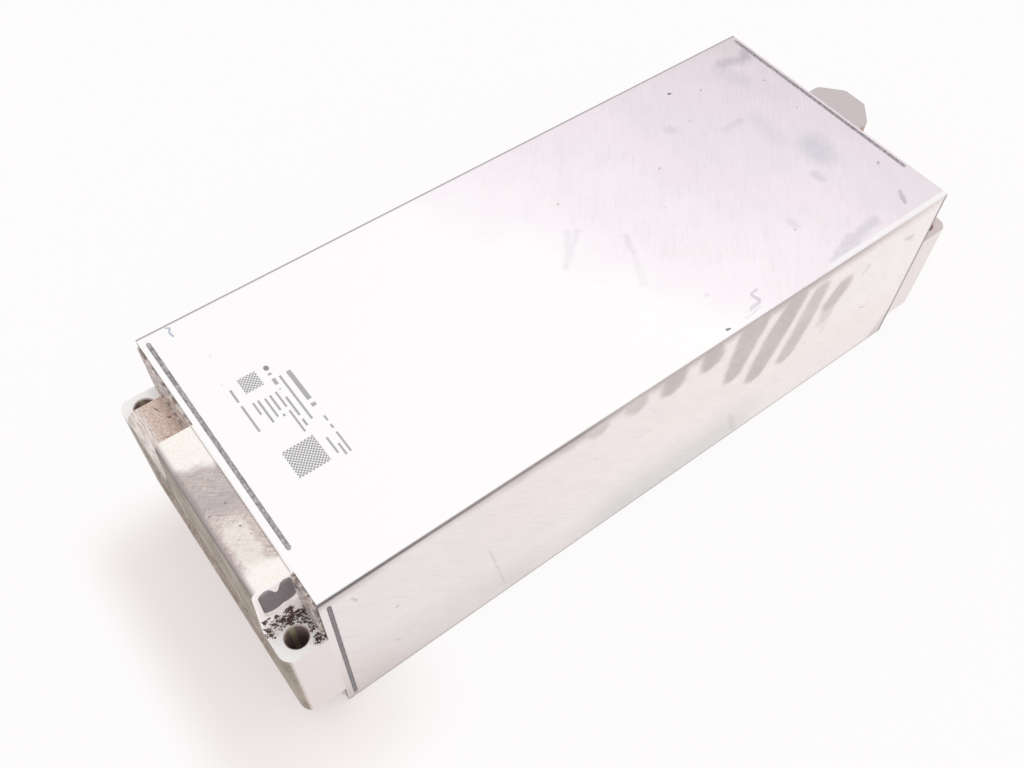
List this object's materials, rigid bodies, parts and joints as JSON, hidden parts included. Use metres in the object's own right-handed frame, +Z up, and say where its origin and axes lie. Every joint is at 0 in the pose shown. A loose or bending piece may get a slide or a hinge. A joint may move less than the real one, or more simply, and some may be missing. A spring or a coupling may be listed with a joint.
{
  "type": "traction battery module",
  "caption": "Sealed battery module for a hybrid or electric car: stacked pouch cells in a welded aluminium sleeve with bolt-down cast end plates.",
  "frame": {"origin": "centre of the flat bottom face of the sleeve, on the surface the module rests on", "axes": "+X along the module from the end with the raised block to the end with the terminals, +Y across the cell stack, +Z up"},
  "size_m": [0.39, 0.149, 0.108],
  "materials": {
    "sleeve_aluminium": "extruded aluminium, satin, bare",
    "cast_aluminium": "die-cast aluminium, bare, machined on the ears and sides",
    "pouch_laminate": "silver laminated pouch film",
    "foam": "closed-cell foam, matt",
    "thermal_paste": "cured heat-conducting paste",
    "film": "clear insulating film",
    "copper": "bare copper",
    "frame_plastic": "black moulded plastic",
    "terminal_plastic": "orange moulded plastic",
    "steel": "zinc-plated steel",
    "flex_film": "amber circuit film",
    "sensor": "black epoxy",
    "connector_plastic": "black moulded plastic",
    "pin_metal": "gold-plated brass"
  },
  "bodies": {
    "root": {"housing_sleeve": "sleeve_aluminium", "front_end_casting": "cast_aluminium", "rear_end_casting": "cast_aluminium", "pouch_cell_01": "pouch_laminate", "pouch_cell_02": "pouch_laminate", "pouch_cell_03": "pouch_laminate", "pouch_cell_04": "pouch_laminate", "pouch_cell_05": "pouch_laminate", "pouch_cell_06": "pouch_laminate", "pouch_cell_07": "pouch_laminate", "pouch_cell_08": "pouch_laminate", "pouch_cell_09": "pouch_laminate", "pouch_cell_10": "pouch_laminate", "pouch_cell_11": "pouch_laminate", "pouch_cell_12": "pouch_laminate", "foam_pad_1": "foam", "foam_pad_2": "foam", "foam_pad_3": "foam", "foam_pad_4": "foam", "foam_pad_5": "foam", "side_pad_near": "foam", "side_pad_far": "foam", "thermal_filler": "thermal_paste", "insulating_film": "film", "front_link_busbar_1": "copper", "front_link_busbar_2": "copper", "front_link_busbar_3": "copper", "rear_link_busbar_1": "copper", "rear_link_busbar_2": "copper", "terminal_busbar_near": "copper", "terminal_busbar_far": "copper", "terminal_block_near": "terminal_plastic", "terminal_block_far": "terminal_plastic", "terminal_nuts": "steel", "front_busbar_frame": "frame_plastic", "rear_busbar_frame": "frame_plastic", "front_insulating_cover": "frame_plastic", "rear_insulating_cover": "frame_plastic", "sensing_circuit": "flex_film", "temperature_sensors": "sensor", "signal_connector": "connector_plastic", "connector_pins": "pin_metal"}
  },
  "joints": []
}
